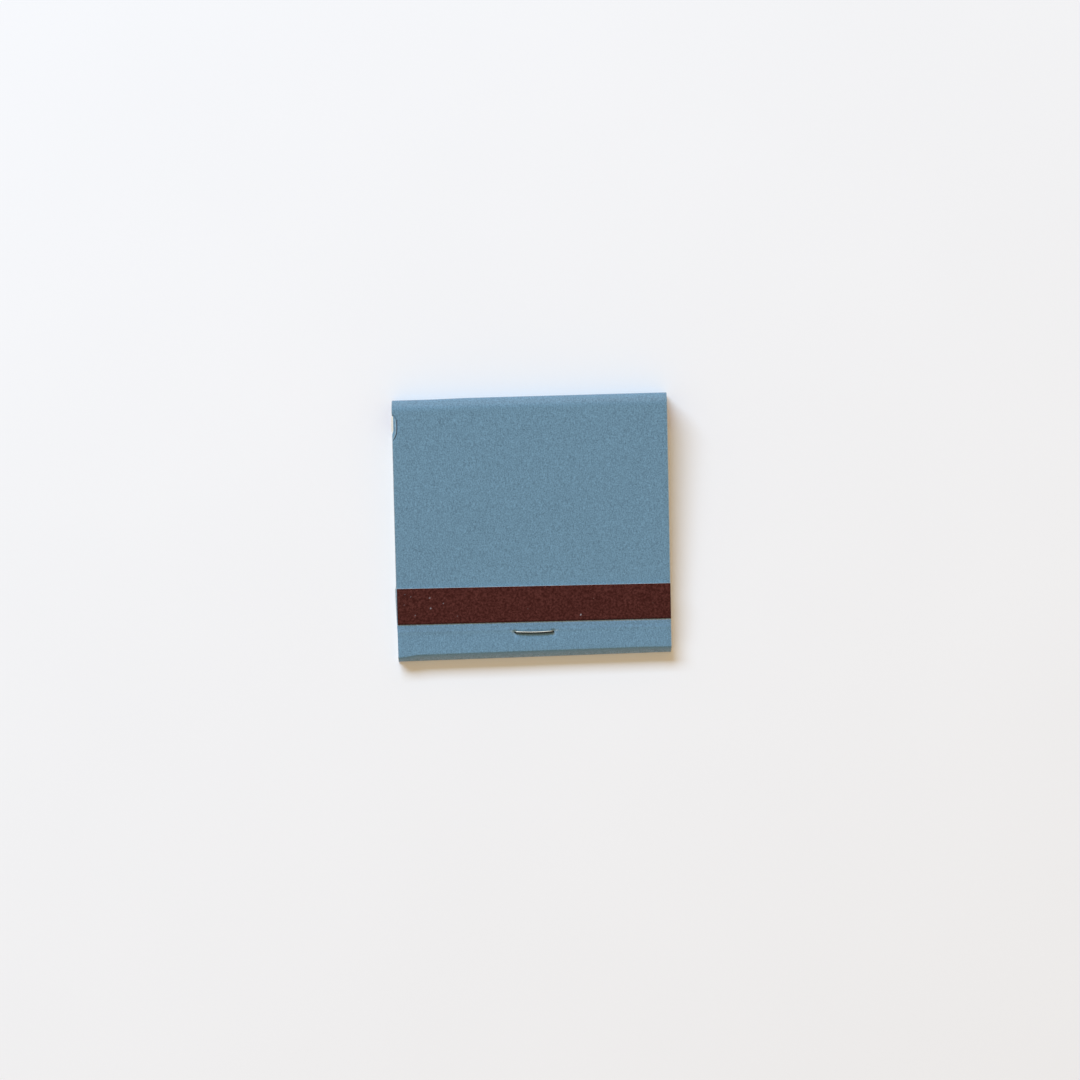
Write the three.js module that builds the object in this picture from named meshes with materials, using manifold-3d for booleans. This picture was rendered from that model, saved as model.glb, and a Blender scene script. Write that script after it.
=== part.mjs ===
// A closed matchbook of thirty paper matches, lying on its back cover.
// One scored card wraps two combs of matches: it runs from the striker flap round the bottom fold,
// up the back, over the saddle and down the front, where its free edge tucks in behind the flap.
// A wire staple goes in through the flap, both combs and the back, and is clinched there.
// Millimetres. X runs across the book, Y from the bottom fold to the saddle, Z up from the table.
// The origin is the middle of the back cover's face.
import * as THREE from 'three';
import { mergeVertices } from 'three/addons/utils/BufferGeometryUtils.js';
import Module from 'manifold-3d';

const wasm = await Module();
wasm.setup();

// Closed book
const bookWidth = 50.8;
const bookHeight = 48.2;

// Sheets, and the air between two that lie on each other
const cardThickness = 0.35;
const boardThickness = 1.0;
const layerGap = 0.03;

// Striker flap, from the bottom fold up: staple line, bare card, striker strip, free edge
const stapleHeight = 4.1;
const stapleToStriker = 2.25;
const strikerHeight = 6.35;
const strikerThickness = 0.06;
const strikerSideMargin = 0.15;

// Scored folds: how far a curve reaches from its corner along the middle of the card
const creaseReach = 0.5;
const saddleReach = 2.0;
const bottomLean = 0.85;    // the flap's crease stands this far in from the back's crease
const hingeGap = 0.02;      // between the two lengths of card that meet along a fold that opens
const tuckShortfall = 0.15; // from the striker's lower edge to the tucked edge of the front cover

// Staple
const wireDiameter = 0.42;
const crownLength = 7.6;
const clinchLength = 2.6;
const wireBendReach = 0.45;
const wireClearance = 0.04;
const crownToRamp = 0.3;    // from the crown's wire to where the flap lifts over the tucked cover

// Combs of matches
const stemsPerComb = 15;
const combSideMargin = 0.65;
const slitWidth = 0.3;
const rootHeight = 11.0;    // uncut foot that holds the stems together
const bendLength = 6.0;     // over which a stem leaves the plane of the foot
const footClearance = 0.3;
const stagger = 0.3;        // every second stem is bent this much further forward

// Match heads
const headLength = 4.6;
const headThickness = 2.0;
const headSpacing = 0.1;    // between neighbours in a row
const headCap = 0.9;        // compound beyond the end of the stem
const headCrownFlat = 0.18;  // straight part of the crown, between its two rounded corners
const headFootRadius = 0.45;
const headRounding = 0.42;  // how far the faces are rounded in from the sides
const headClearance = 0.06;
const saddleClearance = 0.8;

// Faceting
const curveSteps = 4;
const wireSides = 8;
const wireSteps = 56;
const holeSides = 12;

const bottomY = -bookHeight / 2;
const topY = bookHeight / 2;
const halfCard = cardThickness / 2;
const wireRadius = wireDiameter / 2;

// Heights of the stack at the staple, from the table up
const rearCombZ = cardThickness + layerGap + boardThickness / 2;
const frontCombZ = rearCombZ + boardThickness + layerGap;
const flapInnerZ = frontCombZ + boardThickness / 2 + layerGap;
const flapFootZ = flapInnerZ + halfCard;

// Rear and front heads stand one behind the other, so both rows stagger together
const rearHeadZ = cardThickness + headClearance + headThickness / 2;
const frontHeadZ = rearHeadZ + headThickness + headClearance;
const coverInnerZ = frontHeadZ + stagger + headThickness / 2 + headClearance;

// Places along the book
const stapleY = bottomY + stapleHeight;
const strikerLowY = stapleY + stapleToStriker;
const flapTopY = strikerLowY + strikerHeight;
const tuckY = strikerLowY + tuckShortfall;
const rampY = stapleY + wireRadius + crownToRamp;

// The bottom fold leans: the middle of its card at a height, and its inner face
const leanSlope = bottomLean / (flapFootZ - halfCard);
const bottomCardY = (z) => bottomY + halfCard + (z - halfCard) * leanSlope;
const bottomInnerY = (z) => bottomCardY(z) + halfCard * Math.hypot(1, leanSlope);
const combFootY = (combZ) => bottomInnerY(combZ + boardThickness / 2) + footClearance;

const headTopY = topY - cardThickness - saddleClearance;
const matchLength = headTopY - combFootY(frontCombZ);
const headMiddle = (combZ) => combFootY(combZ) + matchLength - headLength / 2;

// The front cover is flat: the middle of its card runs from over the front comb to over the heads
const coverSlope = (coverInnerZ - flapInnerZ) / (headMiddle(frontCombZ) - tuckY);
const coverTilt = Math.atan(coverSlope);
const acrossCard = (distance) => distance / Math.cos(coverTilt);
const coverZ = (y) => flapInnerZ + (y - tuckY) * coverSlope + acrossCard(halfCard);
const flapZ = (y) => coverZ(y) + acrossCard(cardThickness + layerGap);

// The two folds that open, one at each edge of the saddle, along the middle of the card
const saddleY = topY - halfCard;
const saddleTopZ = coverZ(saddleY);
const backFold = new THREE.QuadraticBezierCurve(
  new THREE.Vector2(saddleY - creaseReach, halfCard),
  new THREE.Vector2(saddleY, halfCard),
  new THREE.Vector2(saddleY, halfCard + creaseReach));
const frontFold = new THREE.QuadraticBezierCurve(
  new THREE.Vector2(saddleY, saddleTopZ - saddleReach),
  new THREE.Vector2(saddleY, saddleTopZ),
  new THREE.Vector2(saddleY - saddleReach * Math.cos(coverTilt), saddleTopZ - saddleReach * Math.sin(coverTilt)));

const stemPitch = (bookWidth - 2 * combSideMargin + slitWidth) / stemsPerComb;
const stemWidth = stemPitch - slitWidth;
const stemX = (index) => (index - (stemsPerComb - 1) / 2) * stemPitch;

const blueCard = new THREE.MeshStandardMaterial({ color: 0x6a8aa0, roughness: 0.7, metalness: 0 });
const strikerCoat = new THREE.MeshStandardMaterial({ color: 0x4b2723, roughness: 0.9, metalness: 0 });
const staplingWire = new THREE.MeshStandardMaterial({ color: 0xb9bab5, roughness: 0.3, metalness: 1 });
const matchBoard = new THREE.MeshStandardMaterial({ color: 0xe4d9c3, roughness: 0.85, metalness: 0 });
const headCompound = new THREE.MeshStandardMaterial({ color: 0xa23a2c, roughness: 0.8, metalness: 0 });

function solidOf(geometry) {
  const bare = geometry.index ? geometry.toNonIndexed() : geometry.clone();
  bare.deleteAttribute('normal');
  bare.deleteAttribute('uv');
  const merged = mergeVertices(bare);
  return new wasm.Manifold(new wasm.Mesh({
    numProp: 3,
    vertProperties: merged.attributes.position.array,
    triVerts: new Uint32Array(merged.index.array),
  }));
}

function geometryOf(solid) {
  const mesh = solid.getMesh();
  const geometry = new THREE.BufferGeometry();
  geometry.setAttribute('position', new THREE.BufferAttribute(mesh.vertProperties, mesh.numProp));
  geometry.setIndex(new THREE.BufferAttribute(mesh.triVerts, 1));
  geometry.computeVertexNormals();
  return geometry;
}

// Turns a profile drawn as (Y, Z) and extruded upwards into one that runs along X, about middleX
function alongX(geometry, width, middleX) {
  const turned = new THREE.Matrix4().makeBasis(
    new THREE.Vector3(0, 1, 0), new THREE.Vector3(0, 0, 1), new THREE.Vector3(1, 0, 0));
  return geometry.applyMatrix4(turned).translate(middleX - width / 2, 0, 0);
}

// A sheet of one thickness that follows a centreline drawn as (Y, Z)
function sheet(centreline, thickness, width, middleX = 0) {
  const points = centreline.getPoints(curveSteps);
  const headings = points.slice(1).map((point, i) => point.clone().sub(points[i]).normalize());
  const bends = headings.slice(1).map((next, i) => next.clone().add(headings[i]).normalize());
  const mitres = [centreline.getTangent(0), ...bends, centreline.getTangent(1)];
  const offsets = mitres.map((mitre, i) => {
    const reach = thickness / 2 / mitre.dot(headings[Math.min(i, headings.length - 1)]);
    return new THREE.Vector2(-mitre.y, mitre.x).multiplyScalar(reach);
  });
  const upper = points.map((point, i) => point.clone().add(offsets[i]));
  const lower = points.map((point, i) => point.clone().sub(offsets[i]));
  const section = new THREE.Shape([...lower, ...upper.reverse()]);
  const geometry = new THREE.ExtrudeGeometry(section, { depth: width, bevelEnabled: false });
  return alongX(geometry, width, middleX);
}

// Draws on to a corner and rounds it, starting and ending the curve `reach` away from it
function roundCorner(path, corner, next, reach) {
  const from = path.currentPoint.clone();
  const into = corner.clone().addScaledVector(from.sub(corner).normalize(), reach);
  const out = corner.clone().addScaledVector(next.clone().sub(corner).normalize(), reach);
  path.lineTo(into.x, into.y);
  path.quadraticCurveTo(corner.x, corner.y, out.x, out.y);
}

// The part of a fold's curve from one share of its way to another
function stretchOf(fold, from, to) {
  const blend = (s, t) => fold.v0.clone().multiplyScalar((1 - s) * (1 - t))
    .addScaledVector(fold.v1, s * (1 - t) + t * (1 - s))
    .addScaledVector(fold.v2, s * t);
  return new THREE.QuadraticBezierCurve(blend(from, from), blend(from, to), blend(to, to));
}

// The two halves of a fold that opens, with the hinge's gap between them
const firstHalf = (fold) => stretchOf(fold, 0, (1 - hingeGap / fold.getLength()) / 2);
const secondHalf = (fold) => stretchOf(fold, (1 + hingeGap / fold.getLength()) / 2, 1);

// Flap, bottom fold and back in one length of card, up to the middle of the back fold
function backCover() {
  const path = new THREE.Path().moveTo(flapTopY, flapZ(flapTopY));
  const middleY = (strikerLowY + rampY) / 2;
  path.lineTo(strikerLowY, flapZ(strikerLowY));
  path.bezierCurveTo(middleY, flapZ(middleY), middleY, flapFootZ, rampY, flapFootZ);
  const flapCorner = new THREE.Vector2(bottomCardY(flapFootZ), flapFootZ);
  const backCorner = new THREE.Vector2(bottomCardY(halfCard), halfCard);
  roundCorner(path, flapCorner, backCorner, creaseReach);
  roundCorner(path, backCorner, backFold.v0, creaseReach);
  path.lineTo(backFold.v0.x, backFold.v0.y);
  path.add(firstHalf(backFold));
  return solidOf(sheet(path, cardThickness, bookWidth));
}

// From the middle of one fold to the middle of the other
function saddle() {
  const path = new THREE.Path();
  path.add(secondHalf(backFold));
  path.add(new THREE.LineCurve(backFold.v2, frontFold.v0));
  path.add(firstHalf(frontFold));
  return solidOf(sheet(path, cardThickness, bookWidth));
}

function frontCover() {
  const path = new THREE.Path();
  path.add(secondHalf(frontFold));
  path.add(new THREE.LineCurve(frontFold.v2, new THREE.Vector2(tuckY, coverZ(tuckY))));
  return solidOf(sheet(path, cardThickness, bookWidth));
}

// Friction coat on the flap, from its free edge down
function strikerStrip() {
  const coatZ = (y) => flapZ(y) + acrossCard(halfCard + strikerThickness / 2);
  const path = new THREE.Path().moveTo(flapTopY, coatZ(flapTopY));
  path.lineTo(strikerLowY, coatZ(strikerLowY));
  return solidOf(sheet(path, strikerThickness, bookWidth - 2 * strikerSideMargin));
}

const legX = crownLength / 2 - wireRadius;
const crownZ = flapFootZ + halfCard + layerGap + wireRadius;
const clinchZ = wireRadius + layerGap;
const clinchX = legX - clinchLength;

function staple() {
  const at = (x, z) => new THREE.Vector3(x, stapleY, z);
  const corners = [at(-legX, clinchZ), at(-legX, crownZ), at(legX, crownZ), at(legX, clinchZ)];
  const tip = at(clinchX, clinchZ);
  const path = new THREE.CurvePath();
  let from = at(-clinchX, clinchZ);
  corners.forEach((corner, i) => {
    const next = corners[i + 1] ?? tip;
    const into = corner.clone().addScaledVector(from.clone().sub(corner).normalize(), wireBendReach);
    const out = corner.clone().addScaledVector(next.clone().sub(corner).normalize(), wireBendReach);
    path.add(new THREE.LineCurve3(from, into));
    path.add(new THREE.QuadraticBezierCurve3(into, corner, out));
    from = out;
  });
  path.add(new THREE.LineCurve3(from, tip));
  const section = new THREE.Shape().absarc(0, 0, wireRadius, 0, 2 * Math.PI);
  return solidOf(new THREE.ExtrudeGeometry(section, {
    extrudePath: path, steps: wireSteps, curveSegments: wireSides, bevelEnabled: false,
  }));
}

// What the wire leaves in the card and the board: a hole for each leg, and the pressed seat of each clinch
function stapleSeat() {
  const seatWidth = wireDiameter + 2 * wireClearance;
  const seatLength = clinchLength + wireBendReach + wireDiameter;
  const seatTop = clinchZ + wireRadius + wireClearance;
  const sides = [-1, 1].map((side) => {
    const leg = new THREE.CylinderGeometry(
      wireRadius + wireClearance, wireRadius + wireClearance, 2 * crownZ, holeSides);
    leg.rotateX(Math.PI / 2).translate(side * legX, stapleY, crownZ);
    const seat = new THREE.BoxGeometry(seatLength, seatWidth, 2 * seatTop);
    const outerX = legX + wireRadius + wireClearance;
    seat.translate(side * (outerX - seatLength / 2), stapleY, 0);
    return solidOf(leg).add(solidOf(seat));
  });
  return sides[0].add(sides[1]);
}

// One stem of a comb: where it leaves the foot, which way it points, and where it ends
function stemCourse(combZ, headZ) {
  const footY = combFootY(combZ);
  const bend = new THREE.Vector2(footY + rootHeight + bendLength / 2, combZ);
  const head = new THREE.Vector2(headMiddle(combZ), headZ);
  const heading = head.clone().sub(bend).normalize();
  const end = head.clone().addScaledVector(heading, headLength / 2 - headCap);
  return { footY, bend, heading, end };
}

function stem(combZ, course, middleX) {
  const path = new THREE.Path().moveTo(course.footY, combZ);
  roundCorner(path, course.bend, course.end, bendLength / 2);
  path.lineTo(course.end.x, course.end.y);
  return solidOf(sheet(path, boardThickness, stemWidth, middleX));
}

function comb(combZ, courses) {
  const footY = combFootY(combZ);
  const foot = new THREE.Path().moveTo(footY, combZ);
  foot.lineTo(footY + rootHeight, combZ);
  const combWidth = stemsPerComb * stemPitch - slitWidth;
  return courses.reduce(
    (solid, course, i) => solid.add(stem(combZ, course, stemX(i))),
    solidOf(sheet(foot, boardThickness, combWidth)));
}

// A dipped head: a rounded bead, a little wider than the stem, drawn upright with the stem's end at its origin
function headBead() {
  const halfWidth = (stemPitch - headSpacing) / 2 - headRounding;
  const crownRadius = halfWidth - headCrownFlat / 2;
  const top = headCap - headRounding;
  const foot = headCap - headLength + headRounding;
  const outline = new THREE.Shape();
  outline.moveTo(-halfWidth + headFootRadius, foot);
  outline.lineTo(halfWidth - headFootRadius, foot);
  outline.quadraticCurveTo(halfWidth, foot, halfWidth, foot + headFootRadius);
  outline.lineTo(halfWidth, top - crownRadius);
  outline.quadraticCurveTo(halfWidth, top, halfWidth - crownRadius, top);
  outline.lineTo(-halfWidth + crownRadius, top);
  outline.quadraticCurveTo(-halfWidth, top, -halfWidth, top - crownRadius);
  outline.lineTo(-halfWidth, foot + headFootRadius);
  outline.quadraticCurveTo(-halfWidth, foot, -halfWidth + headFootRadius, foot);
  const sideBand = boardThickness + 2 * headSpacing;
  const bead = new THREE.ExtrudeGeometry(outline, {
    depth: sideBand,
    bevelThickness: (headThickness - sideBand) / 2,
    bevelSize: headRounding,
    bevelSegments: 2,
    curveSegments: 2,
  });
  return bead.translate(0, 0, -sideBand / 2);
}

function head(course, middleX, combSolid) {
  const bead = headBead();
  bead.rotateX(Math.atan2(course.heading.y, course.heading.x));
  bead.translate(middleX, course.end.x, course.end.y);
  return solidOf(bead).subtract(combSolid);
}

const book = new THREE.Group();

function place(name, solid, material) {
  const mesh = new THREE.Mesh(geometryOf(solid), material);
  mesh.name = name;
  book.add(mesh);
}

const seat = stapleSeat();
place('cover_back', backCover().subtract(seat), blueCard);
place('cover_saddle', saddle(), blueCard);
place('cover_front', frontCover(), blueCard);
place('striker_strip', strikerStrip(), strikerCoat);
place('staple', staple(), staplingWire);

for (const [row, combZ, headZ] of [['rear', rearCombZ, rearHeadZ], ['front', frontCombZ, frontHeadZ]]) {
  const courses = Array.from({ length: stemsPerComb },
    (_, i) => stemCourse(combZ, headZ + (i % 2) * stagger));
  const combSolid = comb(combZ, courses);
  place(`comb_${row}`, combSolid.subtract(seat), matchBoard);
  courses.forEach((course, i) => {
    const number = String(i + 1).padStart(2, '0');
    place(`head_${row}_${number}`, head(course, stemX(i), combSolid), headCompound);
  });
}

export default book;
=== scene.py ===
import math

import bmesh
import bpy
from mathutils import Matrix, Vector, noise


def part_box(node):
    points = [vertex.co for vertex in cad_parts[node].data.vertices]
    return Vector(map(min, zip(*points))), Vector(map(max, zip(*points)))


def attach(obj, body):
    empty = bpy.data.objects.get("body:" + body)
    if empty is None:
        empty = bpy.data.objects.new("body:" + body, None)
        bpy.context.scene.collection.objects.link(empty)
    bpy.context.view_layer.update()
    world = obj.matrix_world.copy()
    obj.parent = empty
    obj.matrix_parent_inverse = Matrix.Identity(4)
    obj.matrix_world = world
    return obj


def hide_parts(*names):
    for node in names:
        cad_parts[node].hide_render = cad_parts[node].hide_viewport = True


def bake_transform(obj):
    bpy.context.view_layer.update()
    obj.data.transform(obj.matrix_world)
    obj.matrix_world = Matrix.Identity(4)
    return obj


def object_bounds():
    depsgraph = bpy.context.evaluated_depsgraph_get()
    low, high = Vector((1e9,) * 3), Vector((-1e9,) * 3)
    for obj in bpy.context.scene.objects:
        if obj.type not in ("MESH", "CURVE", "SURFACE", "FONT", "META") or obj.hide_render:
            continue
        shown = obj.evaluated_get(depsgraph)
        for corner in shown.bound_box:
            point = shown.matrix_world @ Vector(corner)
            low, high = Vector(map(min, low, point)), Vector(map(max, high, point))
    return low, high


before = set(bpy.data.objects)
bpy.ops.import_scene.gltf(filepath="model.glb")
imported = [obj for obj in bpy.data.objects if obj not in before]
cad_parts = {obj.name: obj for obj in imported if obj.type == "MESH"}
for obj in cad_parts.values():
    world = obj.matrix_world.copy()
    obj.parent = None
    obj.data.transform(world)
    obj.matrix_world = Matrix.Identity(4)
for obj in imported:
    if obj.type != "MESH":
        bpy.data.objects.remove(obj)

bl_info = {
    "name": "Matchbook",
    "version": (1, 0, 0),
    "blender": (4, 5, 0),
    "location": "3D View > Sidebar > Matchbook",
    "description": "Models and finishes a closed paper matchbook lying on a pale floor",
    "category": "Add Mesh",
}

# Card, coat and wire are modelled in millimetres, and their finished meshes are in metres
MM = 0.001
CAD_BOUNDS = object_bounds()

HEADS = sorted(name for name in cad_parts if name.startswith("head_"))
COMBS = sorted(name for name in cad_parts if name.startswith("comb_"))


def box_mm(node):
    """The lowest and highest corner of a CAD node, in millimetres."""
    low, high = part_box(node)
    return low / MM, high / MM


BACK_LOW, BACK_HIGH = box_mm("cover_back")
SADDLE_LOW, SADDLE_HIGH = box_mm("cover_saddle")
FRONT_LOW, FRONT_HIGH = box_mm("cover_front")
STRIP_LOW, STRIP_HIGH = box_mm("striker_strip")
WIRE_LOW, WIRE_HIGH = box_mm("staple")
HALF_WIDTH = BACK_HIGH.x
SEAM_Z = 2.0  # where the two lengths of card meet, half way up the saddle


# Properties

def millimetres(name, description, default):
    """A length in millimetres as a plain number."""
    return bpy.props.FloatProperty(name=name, description=description, default=default, precision=3)


def share_of(name, description, default):
    return bpy.props.FloatProperty(
        name=name, description=description, default=default, min=0, max=1, subtype="FACTOR")


def metres(name, description, default):
    return bpy.props.FloatProperty(name=name, description=description, default=default, unit="LENGTH")


def colour(name, description, default):
    return bpy.props.FloatVectorProperty(
        name=name, description=description, default=default, size=3, subtype="COLOR", min=0, max=1)


class MatchbookCard(bpy.types.PropertyGroup):
    """Sizes of the folded cover, in millimetres."""
    thickness: millimetres("Card thickness", "Thickness of the cover card", 0.35)
    coat: millimetres("Striker coat", "Thickness of the friction coat on the flap", 0.06)
    crease_reach: millimetres("Crease reach", "How far a sharp crease rounds the card from its corner", 0.6)
    fold_reach: millimetres("Front fold reach", "How far the round fold at the saddle's top reaches", 2.15)
    ramp_reach: millimetres("Ramp reach", "How far each end of the flap's step is rounded", 0.75)
    corner_beyond: millimetres("Corner beyond", "How far the bottom crease stands past its rounding", 0.545)
    bottom_lean: millimetres("Bottom lean", "How far the front crease stands in from the back crease", 1.35)
    flare_height: millimetres("Flare height", "Where the bottom fold starts to flare towards the table", 1.4)
    flare: millimetres("Flare", "How far the back crease stands beyond the fold at that height", 1.05)
    front_crease: millimetres("Front crease", "How far the flap's sharp crease rounds the card", 0.26)
    step_clear: millimetres("Step clearance", "From the staple's wire to the flap's step", 0.3)
    flap_over: millimetres("Flap over", "How far the flap's free edge stands over its true place", 0.385)
    strip_over: millimetres("Strip over", "How far the coat's lower edge stands over its true place", 0.115)
    staple_over: millimetres("Staple over", "How far the staple stands over its true place", 0.42)
    row: millimetres("Mesh row", "Spacing of the mesh along and across the card", 0.8)
    fine_row: millimetres("Fine mesh row", "Spacing of the mesh at the dent and the staple", 0.11)
    staple_row: millimetres("Staple mesh row", "Spacing of the mesh round the staple's legs", 0.16)
    rim: millimetres("Rim rounding", "How much the card's cut edges are rounded", 0.045)


class MatchbookWear(bpy.types.PropertyGroup):
    """How far the folded card departs from true, in millimetres, how much it is rubbed, and how strong its
    painted light and shade are.
    """
    bottom_skew: millimetres("Bottom skew", "How far the bottom fold runs out of square at each side", 0.375)
    top_skew: millimetres("Top skew", "How far the top fold runs out of square at each side", 0.16)
    top_crush: millimetres("Top crush", "How far the top fold is pressed in at its left end", 0.12)
    flap_taper: millimetres("Flap taper", "How far the flap's left side draws in at the crease", 0.14)
    flap_proud: millimetres("Flap proud", "How far the flap's upper left corner stands out", 0.14)
    corner_crimp: millimetres("Corner crimp", "How far the front crease is pressed out at the left", 0.42)
    right_crimp: share_of("Right crimp", "Share of the corner crimp that the right end has too", 0.26)
    ripple_size: millimetres("Ripple size", "Width of a ripple", 13.0)
    ripple: millimetres("Ripple", "Gentle unevenness of the flat card", 0.03)
    dent_low: millimetres("Dent start", "Where the dent in the left edge starts, up the book", 16.1)
    dent_length: millimetres("Dent length", "Length of the dent along the edge", 5.15)
    dent_inset: millimetres("Dent inset", "How far in from the edge the crack runs", 0.93)
    crack_depth: millimetres("Crack depth", "Depth of the crack round the dent", 0.11)
    crack_half: millimetres("Crack half width", "Half the width of the crack", 0.13)
    splay: millimetres("Core splay", "How far the crushed core spreads out of the edge", 0.24)
    draw_back: millimetres("Face drawn back", "How far the printed face draws back at the dent", 0.30)
    lip_rise: millimetres("Lip rise", "How far the card bulges beside the crack", 0.09)
    edge_sink: millimetres("Edge sink", "How far the dented edge is pressed down", 0.1)
    pucker: millimetres("Pucker", "How deep the card is drawn in at the staple's legs", 0.24)
    pucker_radius: millimetres("Pucker radius", "How far round each leg the card is drawn in", 0.65)
    seat: millimetres("Seat", "How deep the crown is pressed into the card", 0.05)
    coat_taper: millimetres("Coat taper", "How far the coat's left side draws in at the flap's edge", 0.16)
    coat_ragged: millimetres("Ragged coat", "How far the coat's long edges wander", 0.035)
    top_greying: share_of("Top fold greying", "How much the ink is greyed on the top fold", 0.38)
    # Painted light on the flap's step, which faces away from the window light.
    step_light: share_of("Step light", "How much the ink is rubbed on the flap's step", 0.4)
    # Bare card, and a painted highlight line, along the coat's lower edge.
    coat_line_bare_and_highlight: share_of("Coat line", "How much bare card shows along the coat's lower edge", 0.16)
    # Painted light down the bottom fold, which faces away from the window light, with rubbed patches.
    fold_light_and_wear: share_of("Bottom fold light and wear", "How much the ink is rubbed down the bottom fold", 0.85)
    foot_bare: share_of("Bare foot", "How bare the flecks at the foot of the bottom fold are", 0.7)
    # Painted shade in the crack round the dent.
    crack_shade: share_of("Crack darkness", "How dark the crack round the dent is", 0.88)
    # Painted highlight with rubbed ink beside the crack.
    lip_highlight: share_of("Lip highlight and wear", "How much the ink is rubbed beside the crack", 0.45)
    # Painted highlight with thinned ink where the staple's legs go in.
    leg_highlight_and_thin_ink: share_of("Leg highlight and thin ink", "How thin the ink is drawn where the staple's legs go in", 0.35)
    # Painted highlight with rubbed ink in a mark beyond each leg.
    mark_highlight_and_rub: share_of("Leg mark highlight", "How much the ink is rubbed in a mark beyond each leg", 0.6)
    # Darker colour along the coat's lower edge.
    coat_foot_dark: share_of("Coat rim", "How dark the coat's lower rim is", 0.75)


class MatchbookWire(bpy.types.PropertyGroup):
    """Sizes of the staple, in millimetres."""
    radius: millimetres("Wire radius", "Half the thickness of the wire", 0.21)
    bend: millimetres("Bend radius", "Radius of the wire's bends along its middle", 0.34)
    leg_inset: millimetres("Leg inset", "How far each leg stands in from its true place", 0.07)
    end_sink: millimetres("Sunk ends", "How far the crown's ends are pressed into the card", 0.16)
    clinch: millimetres("Clinch", "Length of each leg that is turned over on the back", 2.5)
    bow: millimetres("Bow", "How far the crown is bowed towards the bottom fold", 0.13)
    sides: bpy.props.IntProperty(name="Sides", description="Sides of the round wire", default=20)
    bend_steps: bpy.props.IntProperty(name="Bend steps", description="Steps in each bend", default=8)
    crown_steps: bpy.props.IntProperty(name="Crown steps", description="Steps along the crown", default=24)


class MatchbookHead(bpy.types.PropertyGroup):
    """Sizes of a dipped match head, in millimetres."""
    voxel: millimetres("Voxel", "Spacing of the head's mesh", 0.17)
    lump: millimetres("Lump", "Height of the soft lumps in the dried compound", 0.06)
    lump_size: millimetres("Lump size", "Width of a soft lump", 1.3)
    grain: millimetres("Grain", "Height of the grains in the compound", 0.02)
    grain_size: millimetres("Grain size", "Width of a grain", 0.35)
    fullness: bpy.props.FloatProperty(
        name="Fullness", description="Growth that makes up for what smoothing takes off", default=1.02)


class MatchbookColours(bpy.types.PropertyGroup):
    """Linear colours of each finish."""
    print_blue: colour("Printed blue", "Ink on the outside of the card", (0.136, 0.252, 0.350))
    top_fold_grey: colour("Top fold", "Ink greyed on the top fold", (0.152, 0.192, 0.206))
    # Painted light on the flap's step.
    step_painted_light: colour("Flap step", "Ink rubbed on the flap's step", (0.181, 0.352, 0.569))
    # Painted light down the bottom fold, paler towards the table, with rubbed ink.
    bottom_fold_light: colour("Bottom fold", "Ink rubbed down the bottom fold", (0.26, 0.385, 0.56))
    foot_fleck: colour("Foot flecks", "Bare specks at the foot of the bottom fold", (0.36, 0.24, 0.15))
    ink_speck: colour("Ink specks", "Dark specks in the ink", (0.05, 0.07, 0.09))
    # Painted shade in the crack round the dent.
    crack: colour("Crack", "Crack round the dent", (0.035, 0.034, 0.055))
    # Painted highlight with rubbed ink, beside the dent's crack and at the staple's legs.
    highlight_ink: colour("Highlight and rubbed ink", "Ink rubbed at the dent and the staple", (0.36, 0.48, 0.56))
    core: colour("Card core", "Cut edges and crushed places", (0.72, 0.67, 0.58))
    inside: colour("Card inside", "Unprinted inside of the card", (0.74, 0.72, 0.66))
    pulp_fleck: colour("Card flecks", "Flecks in the bare card", (0.32, 0.24, 0.16))
    striker: colour("Striker", "Friction coat", (0.038, 0.0068, 0.0045))
    striker_grain: colour("Striker grain", "Lighter grains in the coat", (0.119, 0.036, 0.030))
    striker_speck: colour("Striker specks", "Pale specks in the coat", (0.45, 0.33, 0.30))
    striker_chip: colour("Chips", "Card that shows where the coat is chipped", (0.55, 0.55, 0.60))
    # Darker colour along the coat's lower edge.
    striker_foot_dark: colour("Striker rim", "Thick lower rim of the coat", (0.018, 0.004, 0.003))
    tarnish: colour("Tarnish", "Dull patches of the wire", (0.34, 0.29, 0.22))
    # Painted shade on the wire's lower side.
    underside_shade: colour("Underside shade", "Painted shade on the wire's lower side", (0.035, 0.032, 0.027))
    wire: colour("Wire", "Stapling wire", (0.58, 0.50, 0.38))
    board: colour("Match board", "Faces of the match stems", (0.78, 0.70, 0.56))
    board_core: colour("Board core", "Cut sides of the match stems", (0.60, 0.52, 0.40))
    board_fleck: colour("Board flecks", "Flecks in the match board", (0.36, 0.27, 0.17))
    head_speck: colour("Head specks", "Pale specks in the compound", (0.62, 0.36, 0.30))
    head: colour("Head", "Match head compound", (0.30, 0.040, 0.026))
    floor: colour("Floor", "Floor and backdrop", (0.880, 0.885, 0.905))


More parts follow.
